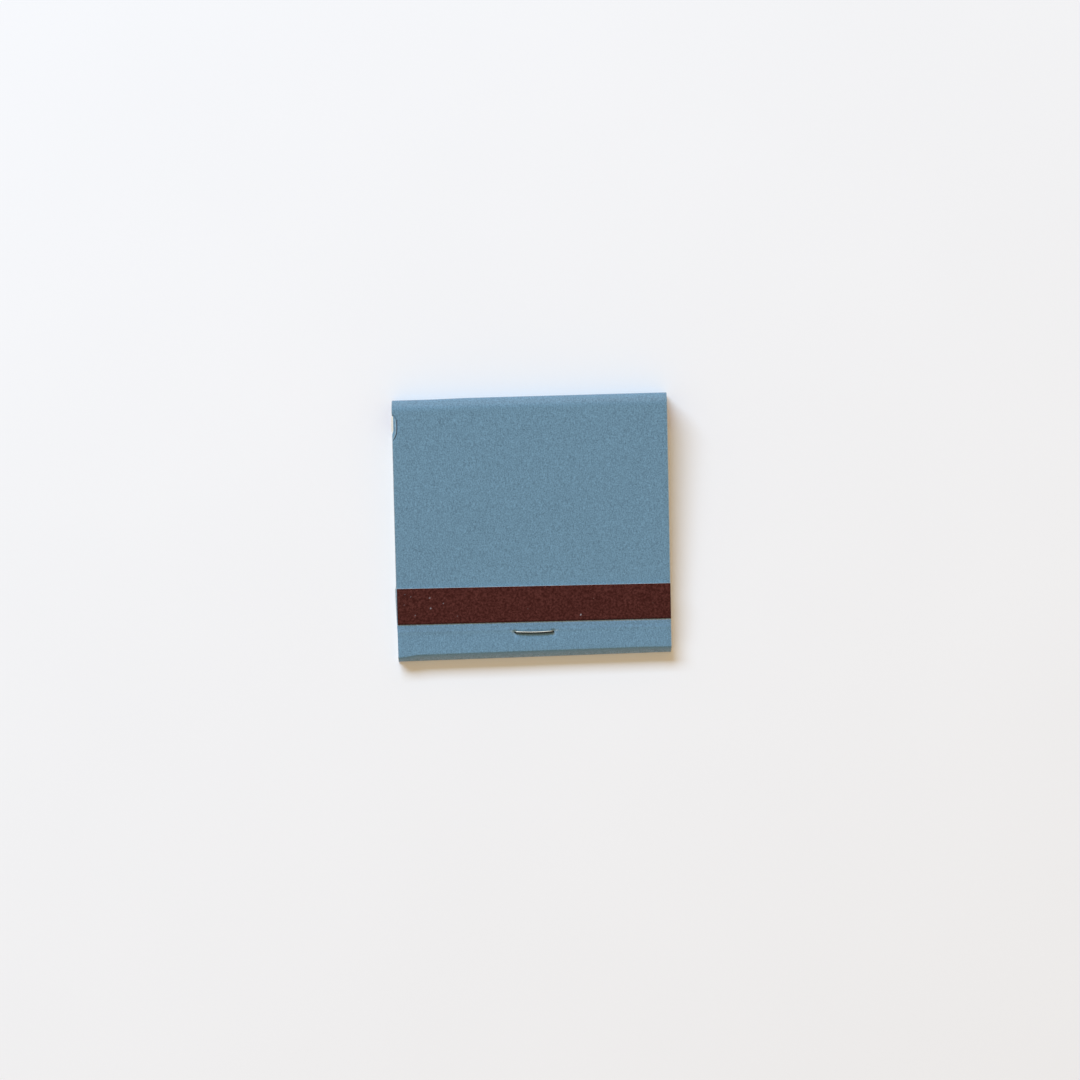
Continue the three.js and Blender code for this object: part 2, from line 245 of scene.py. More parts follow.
class MatchbookStage(bpy.types.PropertyGroup):
    """Camera, lamps and floor."""
    camera_height: metres("Camera height", "From the floor to the camera", 0.43)
    frame_width: metres("Frame width", "Width of the picture at the book's face", 0.1989)
    aside: metres("Aside", "Where the camera aims, across the book", 0.00144)
    below: metres("Below", "Where the camera aims, along the book", -0.00255)
    roll: bpy.props.FloatProperty(
        name="Roll", description="Turn of the camera about its view", default=math.radians(-1.25),
        subtype="ANGLE")
    floor_half: metres("Floor", "Half the width of the floor", 1.2)
    window_long: metres("Window length", "Long side of the window light", 1.95)
    window_short: metres("Window width", "Short side of the window light", 0.70)
    window_place: bpy.props.FloatVectorProperty(
        name="Window place", description="Where the window light stands", default=(-1.05, 1.75, 1.35),
        size=3, subtype="TRANSLATION", unit="LENGTH")
    key_power: bpy.props.FloatProperty(
        name="Key power", description="Power of the window light", default=83.0, unit="POWER")
    key_colour: colour("Key colour", "Tint of the window light", (0.56, 0.757, 1.0))
    room_colour: colour("Room colour", "Warm light from the rest of the room", (0.62, 0.475, 0.297))


def settings():
    """The matchbook's settings in the open scene."""
    return bpy.context.scene.matchbook


# Shader nodes

def fill(tree, made, inputs):
    """Fills a node's inputs with values or other nodes' outputs."""
    for name, value in inputs.items():
        if isinstance(value, bpy.types.NodeSocket):
            tree.links.new(value, made.inputs[name])
        else:
            made.inputs[name].default_value = value


def node(tree, kind, inputs=None, **options):
    """Adds a node, sets its options and fills its inputs."""
    made = tree.nodes.new(kind)
    for name, value in options.items():
        setattr(made, name, value)
    fill(tree, made, inputs or {})
    return made


def maths(tree, operation, first, second=0.0, third=0.0):
    return node(tree, "ShaderNodeMath", {0: first, 1: second, 2: third}, operation=operation).outputs[0]


def ramp(tree, value, low, high, to_low=0.0, to_high=1.0):
    """The value taken smoothly from low..high to to_low..to_high."""
    made = node(tree, "ShaderNodeMapRange", {"Value": value, "From Min": low, "From Max": high,
                "To Min": to_low, "To Max": to_high}, interpolation_type="SMOOTHSTEP")
    return made.outputs[0]


def mix(tree, share, first, second, how="MIX"):
    """Two colours mixed by a share."""
    made = node(tree, "ShaderNodeMix", {0: share, 6: first, 7: second}, data_type="RGBA", blend_type=how)
    return made.outputs[2]


def noise_of(tree, place, size, detail=3.0, roughness=0.55):
    """Even noise whose features are `size` millimetres wide."""
    made = node(tree, "ShaderNodeTexNoise", {"Vector": place, "Scale": 1 / size, "Detail": detail,
                "Roughness": roughness})
    return made.outputs[0]


def rgba(values):
    return (*values, 1.0)


def attribute(tree, name):
    """A value that a mesh keeps for each of its vertices."""
    return node(tree, "ShaderNodeAttribute", attribute_name=name).outputs["Fac"]


def contrast(tree, value, strength, about=1.0):
    """A value that lies about 0.5, taken by a strength to lie about another."""
    return maths(tree, "MULTIPLY_ADD", maths(tree, "SUBTRACT", value, 0.5), strength, about)


def toned(tree, tint, tone):
    """A colour made lighter or darker by a tone about 1."""
    grey = node(tree, "ShaderNodeCombineColor", {0: tone, 1: tone, 2: tone})
    return mix(tree, 1.0, tint, grey.outputs[0], "MULTIPLY")


def speckled(tree, place, base, tint, spacing, size, share, strength):
    """A colour with scattered specks of another."""
    mask = use_group(tree, "Specks", {"Place": place, "Spacing": spacing, "Size": size, "Share": share})
    return mix(tree, maths(tree, "MULTIPLY", mask.outputs[0], strength), base, rgba(tint))


def new_group(name, inputs, outputs):
    """An empty node group with float or vector inputs and float outputs, and its two end nodes."""
    group = bpy.data.node_groups.new(name, "ShaderNodeTree")
    for label, kind in inputs:
        group.interface.new_socket(label, in_out="INPUT", socket_type=kind)
    for label in outputs:
        group.interface.new_socket(label, in_out="OUTPUT", socket_type="NodeSocketFloat")
    return group, group.nodes.new("NodeGroupInput"), group.nodes.new("NodeGroupOutput")


def use_group(tree, name, inputs):
    """A node that stands for a shared group, built the first time that it is used."""
    group = bpy.data.node_groups.get(name) or GROUPS[name]()
    return node(tree, "ShaderNodeGroup", inputs, node_tree=group)


def paper_fibre():
    """Cloudy pulp and short fibres: a tone about 0.5 and a height."""
    group, entry, end = new_group(
        "Paper fibre",
        [("Place", "NodeSocketVector"), ("Cloud", "NodeSocketFloat"), ("Fibre", "NodeSocketFloat")],
        ["Tone", "Height"])
    place = entry.outputs["Place"]
    cloud = node(group, "ShaderNodeTexNoise", {"Vector": place, "Detail": 4.0, "Roughness": 0.6})
    group.links.new(maths(group, "DIVIDE", 1.0, entry.outputs["Cloud"]), cloud.inputs["Scale"])
    stretched = node(group, "ShaderNodeMapping", {"Vector": place, "Scale": (1.0, 0.28, 1.0),
                     "Rotation": (0.0, 0.0, 0.5)})
    fibre = node(group, "ShaderNodeTexNoise", {"Vector": stretched.outputs[0], "Detail": 2.0,
                 "Distortion": 1.2})
    group.links.new(maths(group, "DIVIDE", 1.0, entry.outputs["Fibre"]), fibre.inputs["Scale"])
    tone = maths(group, "ADD", maths(group, "MULTIPLY", cloud.outputs[0], 0.6),
                 maths(group, "MULTIPLY", fibre.outputs[0], 0.4))
    group.links.new(tone, end.inputs["Tone"])
    group.links.new(maths(group, "ADD", tone, maths(group, "MULTIPLY", fibre.outputs[0], 0.5)),
                    end.inputs["Height"])
    return group


def edge_wear():
    """A ragged mask that is 1 where the place lies within a reach of the book's left or right edge."""
    group, entry, end = new_group(
        "Edge wear",
        [("Place", "NodeSocketVector"), ("Half width", "NodeSocketFloat"), ("Reach", "NodeSocketFloat"),
         ("Raggedness", "NodeSocketFloat")],
        ["Mask"])
    parts = node(group, "ShaderNodeSeparateXYZ", {0: entry.outputs["Place"]})
    inset = maths(group, "SUBTRACT", entry.outputs["Half width"], maths(group, "ABSOLUTE", parts.outputs[0]))
    rough = maths(group, "SUBTRACT", noise_of(group, entry.outputs["Place"], 0.55, 4.0, 0.7), 0.5)
    ragged = maths(group, "MULTIPLY_ADD", rough, entry.outputs["Raggedness"], inset)
    group.links.new(ramp(group, ragged, entry.outputs["Reach"], 0.0), end.inputs["Mask"])
    return group


def specks():
    """Scattered round specks: a mask from cells of one spacing, of which only a share holds a speck."""
    group, entry, end = new_group(
        "Specks",
        [("Place", "NodeSocketVector"), ("Spacing", "NodeSocketFloat"), ("Size", "NodeSocketFloat"),
         ("Share", "NodeSocketFloat")],
        ["Mask"])
    cells = node(group, "ShaderNodeTexVoronoi", {"Vector": entry.outputs["Place"]})
    group.links.new(maths(group, "DIVIDE", 1.0, entry.outputs["Spacing"]), cells.inputs["Scale"])
    chance = node(group, "ShaderNodeSeparateColor", {0: cells.outputs["Color"]})
    held = maths(group, "LESS_THAN", chance.outputs[0], entry.outputs["Share"])
    reach = maths(group, "DIVIDE", entry.outputs["Size"], entry.outputs["Spacing"])
    near = ramp(group, maths(group, "DIVIDE", cells.outputs["Distance"], reach), 1.0, 0.5)
    group.links.new(maths(group, "MULTIPLY", held, near), end.inputs["Mask"])
    return group


GROUPS = {"Paper fibre": paper_fibre, "Edge wear": edge_wear, "Specks": specks}


# Materials

def new_material(name):
    """A material with a bare Principled shader. Returns it, its tree and the shader."""
    material = bpy.data.materials.new(name)
    material.use_nodes = True
    tree = material.node_tree
    return material, tree, tree.nodes["Principled BSDF"]


def place_of(tree, posed):
    """Where a point lies at rest, in millimetres: an attribute on card that bends, or the object's place."""
    if posed:
        source = node(tree, "ShaderNodeAttribute", attribute_name="rest_place").outputs["Vector"]
    else:
        source = node(tree, "ShaderNodeTexCoord").outputs["Object"]
    scaled = node(tree, "ShaderNodeVectorMath", {0: source, "Scale": 1 / MM}, operation="SCALE")
    return scaled.outputs[0]


def bump(tree, height, depth):
    """A normal from a height between 0 and 1 that stands for `depth` millimetres."""
    inputs = {"Height": height, "Distance": depth * MM, "Strength": 1.0}
    return node(tree, "ShaderNodeBump", inputs).outputs[0]


def printed_card():
    """Blue ink over the card's fibre, worn at its edges, with painted light and wear on its folds, painted
    shade in the dent's crack and a painted highlight with rubbed ink beside it.
    """
    colours = settings().colours
    material, tree, shader = new_material("printed_card")
    place = place_of(tree, True)
    fibre = use_group(tree, "Paper fibre", {"Place": place, "Cloud": 0.25, "Fibre": 0.17})
    tone = contrast(tree, fibre.outputs["Tone"], 2.35)
    tone = contrast(tree, noise_of(tree, place, 14.0, 2.0), 0.06, tone)
    ink = toned(tree, paint_fold_light_and_wear(tree, place, rgba(colours.print_blue)), tone)
    wear = use_group(tree, "Edge wear", {"Place": place, "Half width": HALF_WIDTH, "Reach": 0.16,
                     "Raggedness": 0.22})
    ink = mix(tree, maths(tree, "MULTIPLY", wear.outputs[0], 0.35), ink, rgba(colours.core))
    ink = speckled(tree, place, ink, colours.ink_speck, spacing=7.0, size=0.12, share=0.12, strength=0.5)
    # Painted shade in the dent's crack, then a painted highlight with rubbed ink beside it and at the
    # staple's legs.
    ink = mix(tree, attribute(tree, "crack"), ink, rgba(colours.crack))
    ink = mix(tree, attribute(tree, "light_and_wear"), ink, rgba(colours.highlight_ink))
    fill(tree, shader, {
        "Base Color": ink,
        "Roughness": maths(tree, "MULTIPLY_ADD", fibre.outputs["Tone"], 0.22, 0.48),
        "Normal": bump(tree, fibre.outputs["Height"], 0.012),
        "Specular IOR Level": 0.2})
    return material


def paint_fold_light_and_wear(tree, place, ink):
    """Greys the ink on the top fold, paints light on the flap's step, paints a pale line of bare card and
    highlight under the coat, and paints light with rubbed patches down the bottom fold, paler towards the
    table.
    """
    colours, wear = settings().colours, settings().wear
    parts = node(tree, "ShaderNodeSeparateXYZ", {0: place})
    along, height = parts.outputs[1], parts.outputs[2]

    def light_and_wear(base, tint, share, *others):
        """The base mixed with a tint by the product of the shares."""
        for other in others:
            share = maths(tree, "MULTIPLY", share, other)
        return mix(tree, share, base, rgba(tint))

    top = SADDLE_HIGH.y
    # Greys the ink on the top fold.
    ink = light_and_wear(ink, colours.top_fold_grey, ramp(tree, along, top - 2.1, top - 0.9, 0.0, wear.top_greying))
    foot = strip_foot()
    outside = ramp(tree, height, 1.5, 2.0)
    below = ramp(tree, along, foot + 0.4, foot + 0.2)
    # Painted light on the flap's step, which faces away from the window light.
    step = ramp(tree, along, foot - 1.75, foot - 1.05, 0.0, wear.step_light)
    ink = light_and_wear(ink, colours.step_painted_light, outside, step, below)
    # Bare card and a painted highlight line along the coat's lower edge.
    line = ramp(tree, along, foot - 0.3, foot - 0.12, 0.0, wear.coat_line_bare_and_highlight)
    ink = light_and_wear(ink, colours.core, outside, line, below)
    # Painted light down the bottom fold, paler towards the table, with rubbed patches.
    fold = ramp(tree, along, BACK_LOW.y + 1.1, BACK_LOW.y + 0.8)
    uneven = ramp(tree, noise_of(tree, place, 0.6), 0.3, 0.7, 0.6, 1.3)
    ink = light_and_wear(ink, colours.bottom_fold_light, ramp(tree, height, 2.4, 0.1, 0.0, wear.fold_light_and_wear), uneven, fold)
    bare = maths(tree, "MULTIPLY", fold, ramp(tree, height, 0.5, 0.15, 0.0, wear.foot_bare))
    return speckled(tree, place, ink, colours.foot_fleck, spacing=0.8, size=0.22, share=0.3, strength=bare)


def pulp_finish(tree, shader, pulp, fibre):
    """Dull, softly fibrous pulp of the given colour."""
    fill(tree, shader, {"Base Color": pulp, "Normal": bump(tree, fibre.outputs["Height"], 0.03),
                        "Roughness": 0.85, "Specular IOR Level": 0.25})


def bare_card(name, tint):
    """Unprinted card: its inside, or its core where it is cut."""
    material, tree, shader = new_material(name)
    place = place_of(tree, True)
    fibre = use_group(tree, "Paper fibre", {"Place": place, "Cloud": 0.3, "Fibre": 0.14})
    pulp = toned(tree, rgba(tint), contrast(tree, fibre.outputs["Tone"], 0.5))
    fleck = settings().colours.pulp_fleck
    pulp = speckled(tree, place, pulp, fleck, spacing=1.6, size=0.1, share=0.25, strength=0.4)
    pulp_finish(tree, shader, pulp, fibre)
    return material


def striker_coat():
    """Dark friction coat with lighter grains, chipped in places and darker at its lower rim."""
    colours = settings().colours
    material, tree, shader = new_material("striker_coat")
    place = place_of(tree, False)
    grain = noise_of(tree, place, 0.42, 3.0, 0.75)
    blotch = noise_of(tree, place, 2.6)
    share = maths(tree, "MULTIPLY", ramp(tree, grain, 0.34, 0.74), ramp(tree, blotch, 0.2, 0.8, 0.75, 1.0))
    coat = mix(tree, share, rgba(colours.striker), rgba(colours.striker_grain))
    speck = colours.striker_speck
    coat = speckled(tree, place, coat, speck, spacing=1.1, size=0.1, share=0.12, strength=0.3)
    coat = mix(tree, attribute(tree, "chip"), coat, rgba(colours.striker_chip))
    # Darker colour along the coat's lower edge.
    coat = mix(tree, attribute(tree, "rim"), coat, rgba(colours.striker_foot_dark))
    fill(tree, shader, {"Base Color": coat, "Roughness": ramp(tree, grain, 0.3, 0.8, 0.75, 0.95),
                        "Normal": bump(tree, grain, 0.02), "Specular IOR Level": 0.08})
    return material


def stapling_wire():
    """Drawn wire with dull patches, and painted shade on the side that looks down the book."""
    colours = settings().colours
    material, tree, shader = new_material("stapling_wire")
    place = place_of(tree, False)
    drawn = node(tree, "ShaderNodeMapping", {"Vector": place, "Scale": (0.2, 1.0, 1.0)})
    lines = noise_of(tree, drawn.outputs[0], 0.07, 2.0)
    dull = noise_of(tree, place, 0.9)
    metal = mix(tree, ramp(tree, dull, 0.4, 0.8, 0.0, 0.35), rgba(colours.wire), rgba(colours.tarnish))
    # Painted shade on the side of the wire that looks down the book.
    metal = mix(tree, ramp(tree, facing_of(tree, 1), 0.6, 0.15), metal, rgba(colours.underside_shade))
    fill(tree, shader, {"Base Color": metal, "Roughness": ramp(tree, dull, 0.2, 0.8, 0.38, 0.55),
                        "Normal": bump(tree, lines, 0.004), "Metallic": 1.0})
    return material


def facing_of(tree, axis):
    """How far the surface looks along an axis of the object."""
    facing = node(tree, "ShaderNodeTexCoord").outputs["Normal"]
    return node(tree, "ShaderNodeSeparateXYZ", {0: facing}).outputs[axis]


def match_board():
    """Board of the stems: smooth faces, and sides that show its layers."""
    colours = settings().colours
    material, tree, shader = new_material("match_board")
    place = place_of(tree, False)
    fibre = use_group(tree, "Paper fibre", {"Place": place, "Cloud": 0.7, "Fibre": 0.16})
    layers = node(tree, "ShaderNodeMapping", {"Vector": place, "Scale": (0.3, 0.05, 1.0)})
    plies = noise_of(tree, layers.outputs[0], 0.16, 2.0)
    cut = maths(tree, "LESS_THAN", maths(tree, "ABSOLUTE", facing_of(tree, 2)), 0.7)
    side = mix(tree, ramp(tree, plies, 0.35, 0.65), rgba(colours.board_core), rgba(colours.board))
    pulp = mix(tree, cut, rgba(colours.board), side)
    pulp = toned(tree, pulp, contrast(tree, fibre.outputs["Tone"], 0.4))
    pulp = speckled(tree, place, pulp, colours.board_fleck, spacing=1.9, size=0.14, share=0.3, strength=0.35)
    pulp_finish(tree, shader, pulp, fibre)
    return material


def head_compound():
    """Grainy red compound with pale specks."""
    colours = settings().colours
    material, tree, shader = new_material("head_compound")
    place = place_of(tree, False)
    grain = noise_of(tree, place, 0.12, 3.0, 0.7)
    mottle = noise_of(tree, place, 0.8)
    dark = tuple(0.55 * c for c in colours.head)
    paste = mix(tree, ramp(tree, mottle, 0.3, 0.7), rgba(dark), rgba(colours.head))
    speck = colours.head_speck
    paste = speckled(tree, place, paste, speck, spacing=0.5, size=0.08, share=0.3, strength=0.35)
    fill(tree, shader, {"Base Color": paste, "Roughness": ramp(tree, grain, 0.3, 0.8, 0.5, 0.85),
                        "Normal": bump(tree, grain, 0.04)})
    return material


def pale_floor():
    """Pale matt floor with a faint broad tone."""
    material, tree, shader = new_material("pale_floor")
    tone = contrast(tree, noise_of(tree, place_of(tree, False), 60.0, 2.0), 0.03)
    floor = toned(tree, rgba(settings().colours.floor), tone)
    fill(tree, shader, {"Base Color": floor, "Roughness": 0.9, "Specular IOR Level": 0.1})
    return material


# Card modelling

def smooth(value, low, high):
    """0 at low, 1 at high and smooth between, whichever of them is larger."""
    share = min(max((value - low) / (high - low), 0.0), 1.0)
    return share * share * (3 - 2 * share)


def panel_slope():
    """Rise of the front cover and the flap for each millimetre up the book."""
    coat = settings().card.coat
    return (STRIP_HIGH.z - STRIP_LOW.z - coat) / (STRIP_HIGH.y - STRIP_LOW.y)


def flap_edge():
    """Where the flap's free edge lies, up the book."""
    return STRIP_HIGH.y + settings().card.flap_over


def strip_foot():
    """Where the friction coat ends on the flap, down the book."""
    return STRIP_LOW.y + settings().card.strip_over


def staple_line():
    """Where the staple lies, up the book."""
    return (WIRE_LOW.y + WIRE_HIGH.y) / 2 + settings().card.staple_over


def flap_face(y):
    """Height of the flap's outer face."""
    return STRIP_LOW.z + (y - STRIP_LOW.y) * panel_slope()


def front_face(y):
    """Height of the front cover's outer face."""
    slope = panel_slope()
    return FRONT_LOW.z + settings().card.thickness * math.hypot(1, slope) + (y - FRONT_LOW.y) * slope


def stations(low, high, step, zones=()):
    """Places from low to high about `step` apart, and closer in each (from, to, finer step) zone."""
    stops = sorted({low, high, *(end for zone in zones for end in zone[:2])})
    places = [low]
    for start, end in zip(stops, stops[1:]):
        spacing = min([step] + [fine for a, b, fine in zones if a <= (start + end) / 2 <= b])
        count = max(1, round((end - start) / spacing))
        places += [start + (end - start) * i / count for i in range(1, count + 1)]
    return places


def draw_profile(bm, corners, step, zones=()):
    """A chain of edges through (y, z, reach) corners, each rounded by its reach, with even steps between."""
    last = bm.verts.new((0, corners[0][0], corners[0][1]))
    rounded = []
    for (y, z, reach) in corners[1:]:
        made = bmesh.ops.extrude_vert_indiv(bm, verts=[last])["verts"][0]
        bmesh.ops.translate(bm, verts=[made], vec=Vector((0, y, z)) - last.co)
        if reach:
            rounded.append((made, reach))
        last = made
    for vert, reach in rounded:
        bmesh.ops.bevel(bm, geom=[vert], offset=reach, offset_type="OFFSET", segments=10, profile=0.5,
                        affect="VERTICES", material=-1)
    for edge in list(bm.edges):
        middle = (edge.verts[0].co + edge.verts[1].co) / 2
        spacing = min([step] + [fine for a, b, fine in zones if a <= middle.y <= b])
        cuts = round(edge.calc_length() / spacing) - 1
        if cuts > 0:
            bmesh.ops.subdivide_edges(bm, edges=[edge], cuts=cuts)


def draw_out(bm, edges, course):
    """Extrudes the edges along a course, and returns the edges at its end."""
    made = bmesh.ops.extrude_edge_only(bm, edges=edges)["geom"]
    moved = {part for part in made if isinstance(part, bmesh.types.BMVert)}
    bmesh.ops.translate(bm, verts=list(moved), vec=course)
    return [part for part in made if isinstance(part, bmesh.types.BMEdge) and moved.issuperset(part.verts)]


def sweep(bm, places):
    """Draws the chain out along X through the places."""
    bmesh.ops.translate(bm, verts=bm.verts, vec=(places[0], 0, 0))
    edges = list(bm.edges)
    for here, there in zip(places, places[1:]):
        edges = draw_out(bm, edges, (there - here, 0, 0))


def face_outward(bm, outward):
    """Turns all faces the same way, so that the one furthest along `outward` looks that way."""
    bmesh.ops.recalc_face_normals(bm, faces=bm.faces)
    furthest = max(bm.faces, key=lambda face: face.calc_center_median().dot(outward))
    if furthest.normal.dot(outward) < 0:
        bmesh.ops.reverse_faces(bm, faces=bm.faces)


def dent_line(y):
    """How far in from the left edge the crack of the dent runs at this height up the book."""
    wear = settings().wear
    share = (y - wear.dent_low) / wear.dent_length
    if not 0 < share < 1:
        return 0.0
    return wear.dent_inset * (1 - abs(2 * share ** 1.3 - 1) ** 4)


def warp_card(point, upper):
    """Moves a point of the true card to where the folded and handled card has it.
    `upper` says that it lies on the flap or the front cover, and not on the back."""
    wear = settings().wear
    x, y, z = point
    across = x / HALF_WIDTH
    to_bottom = smooth(y, -15.0, BACK_LOW.y)
    to_top = smooth(y, 8.0, SADDLE_HIGH.y)
    y += wear.bottom_skew * across * to_bottom + wear.top_skew * across * to_top
    y -= wear.top_crush * smooth(across, -0.42, -0.78) * to_top
    if upper and z < 3.7 and point.y < flap_edge() + 0.1:
        down = smooth(point.y, flap_edge(), BACK_LOW.y)
        left = (1 - across) / 2
        x += left * (wear.flap_taper * down - wear.flap_proud * (1 - down) ** 2)
        crease = smooth(point.y, BACK_LOW.y + 2.4, BACK_LOW.y + 0.9)
        ends = smooth(across, -0.83, -1.0) + wear.right_crimp * smooth(across, 0.8, 1.0)
        y -= wear.corner_crimp * crease * ends
    if upper:
        z += wear.ripple * noise.noise(Vector((x, y, 0)) / wear.ripple_size)
    return Vector((x, y, z))


def pucker(x, y):
    """How far the card is drawn in at this place by the staple's legs, from 0 to 1."""
    wear = settings().wear
    legs = WIRE_HIGH.x - settings().wire.radius
    reach = min(math.hypot(x - side * legs, y - staple_line()) for side in (-1, 1))
    return smooth(reach, wear.pucker_radius, 0.15)


def seat(x, y):
    """How far the card gives way at this place under the staple's crown, from 0 to 1."""
    crown = smooth(abs(x), WIRE_HIGH.x + 0.1, WIRE_HIGH.x - 0.4)
    return crown * smooth(abs(y - staple_line()), 0.6, 0.15)


def make_piece(bm, name, unit=1.0):
    """The finished bmesh as an object of the scene. `unit` is what one of its lengths is in metres."""
    bmesh.ops.scale(bm, vec=(unit, unit, unit), verts=bm.verts)
    mesh = bpy.data.meshes.new(name)
    bm.to_mesh(mesh)
    bm.free()
    piece = bpy.data.objects.new(name, mesh)
    bpy.context.scene.collection.objects.link(piece)
    return piece


def thicken(card, finishes):
    """Makes the open sheet a closed card: printed outside, bare inside and core at its cut edges."""
    for finish in finishes:
        card.data.materials.append(finish)
    solid = card.modifiers.new("thickness", "SOLIDIFY")
    solid.thickness = settings().card.thickness * MM
    solid.offset = -1
    solid.use_even_offset = True
    solid.use_quality_normals = True
    solid.material_offset = 1
    solid.material_offset_rim = 2
    return apply_modifiers(card)


def apply_modifiers(piece):
    """Puts the finished mesh in place of the piece's mesh and modifiers."""
    graph = bpy.context.evaluated_depsgraph_get()
    finished = bpy.data.meshes.new_from_object(piece.evaluated_get(graph))
    finished.name = piece.name
    piece.modifiers.clear()
    piece.data = finished
    return piece


def store_rest_place(mesh):
    """Keeps each vertex's place at rest as an attribute, for patterns on card that bends."""
    places = mesh.attributes.new("rest_place", "FLOAT_VECTOR", "POINT")
    values = [0.0] * (3 * len(mesh.vertices))
    mesh.vertices.foreach_get("co", values)
    places.data.foreach_set("vector", values)


def store_values(mesh, name, value_at):
    """Keeps a value for each vertex, told from its place in millimetres, as an attribute."""
    values = [value_at(vert.co / MM) for vert in mesh.vertices]
    mesh.attributes.new(name, "FLOAT", "POINT").data.foreach_set("value", values)


def shade(mesh, angle=35.0):
    """Shades the mesh smooth, apart from edges sharper than an angle in degrees."""
    mesh.shade_smooth()
    mesh.set_sharp_from_angle(angle=math.radians(angle))


def round_rims(bm):
    """Rounds the cut edges a little, but not where the two lengths of card meet."""
    card = settings().card
    seam = SADDLE_HIGH.y - 2 * card.thickness

    def at_seam(vert):
        return vert.co.y > seam and abs(vert.co.z - SEAM_Z) < 0.01

    rims = [edge for edge in bm.edges
            if edge.is_manifold and edge.calc_face_angle() > math.radians(60)
            and not all(at_seam(vert) for vert in edge.verts)]
    bmesh.ops.bevel(bm, geom=rims, offset=card.rim, offset_type="OFFSET", segments=2, profile=0.5,
                    affect="EDGES", clamp_overlap=True, material=-1)


def card_piece(name, finishes, corners, columns, row_zones, warp, shape_rims=None):
    """One length of the card: a profile swept across the book, warped, thickened and rounded at its rims."""
    bm = bmesh.new()
    draw_profile(bm, corners, settings().card.row, row_zones)
    sweep(bm, columns)
    face_outward(bm, Vector((0, 1, 0)))
    for vert in bm.verts:
        vert.co = warp(vert.co.copy())
    card = thicken(make_piece(bm, name, MM), finishes)
    bm = bmesh.new()
    bm.from_mesh(card.data)
    bmesh.ops.scale(bm, vec=(1 / MM,) * 3, verts=bm.verts)
    if shape_rims:
        shape_rims(bm)
    round_rims(bm)
    bmesh.ops.scale(bm, vec=(MM,) * 3, verts=bm.verts)
    bm.to_mesh(card.data)
    bm.free()
    store_rest_place(card.data)
    shade(card.data)
    return card


def warp_flap_and_back(point):
    """The card's lower length, drawn in round the staple on both faces."""
    wear = settings().wear
    upper = point.z > 1.0 and point.y < flap_edge() + 0.1
    moved = warp_card(point, upper)
    if upper and point.y < strip_foot():
        moved.z -= wear.pucker * pucker(point.x, point.y) + wear.seat * seat(point.x, point.y)
    return moved


def warp_front(point):
    """The card's upper length, with a dent crushed into its left edge."""
    wear = settings().wear
    moved = warp_card(point, True)
    line = dent_line(point.y)
    if line and point.z > FRONT_LOW.z:
        inset = point.x + HALF_WIDTH
        beyond = abs(inset - line)
        moved.z -= wear.crack_depth * smooth(beyond, wear.crack_half, 0.0)
        if inset < line:
            rise = inset / line
            moved.z += wear.lip_rise * rise * smooth(beyond, 0.0, wear.crack_half)
            moved.z -= wear.edge_sink * (1 - rise) ** 2
    return moved


def crush_edge(bm):
    """Spreads the core out of the dented edge: the printed face draws back, and bare core comes out below."""
    wear = settings().wear
    high = wear.dent_low + wear.dent_length
    for vert in bm.verts:
        x, y, z = vert.co
        inset = x + HALF_WIDTH
        reach = wear.dent_inset
        if inset > reach or not wear.dent_low < y < high:
            continue
        amount = smooth(y, wear.dent_low + 1.1, wear.dent_low + 2.2) * smooth(y, high, high - 0.5)
        height = (z - front_face(y)) / settings().card.thickness + 1
        hold = 1 - max(inset, 0.0) / reach
        face = wear.draw_back * smooth(height, 0.2, 0.9)
        vert.co.x += amount * hold * (face - wear.splay * smooth(height, 0.9, 0.2))


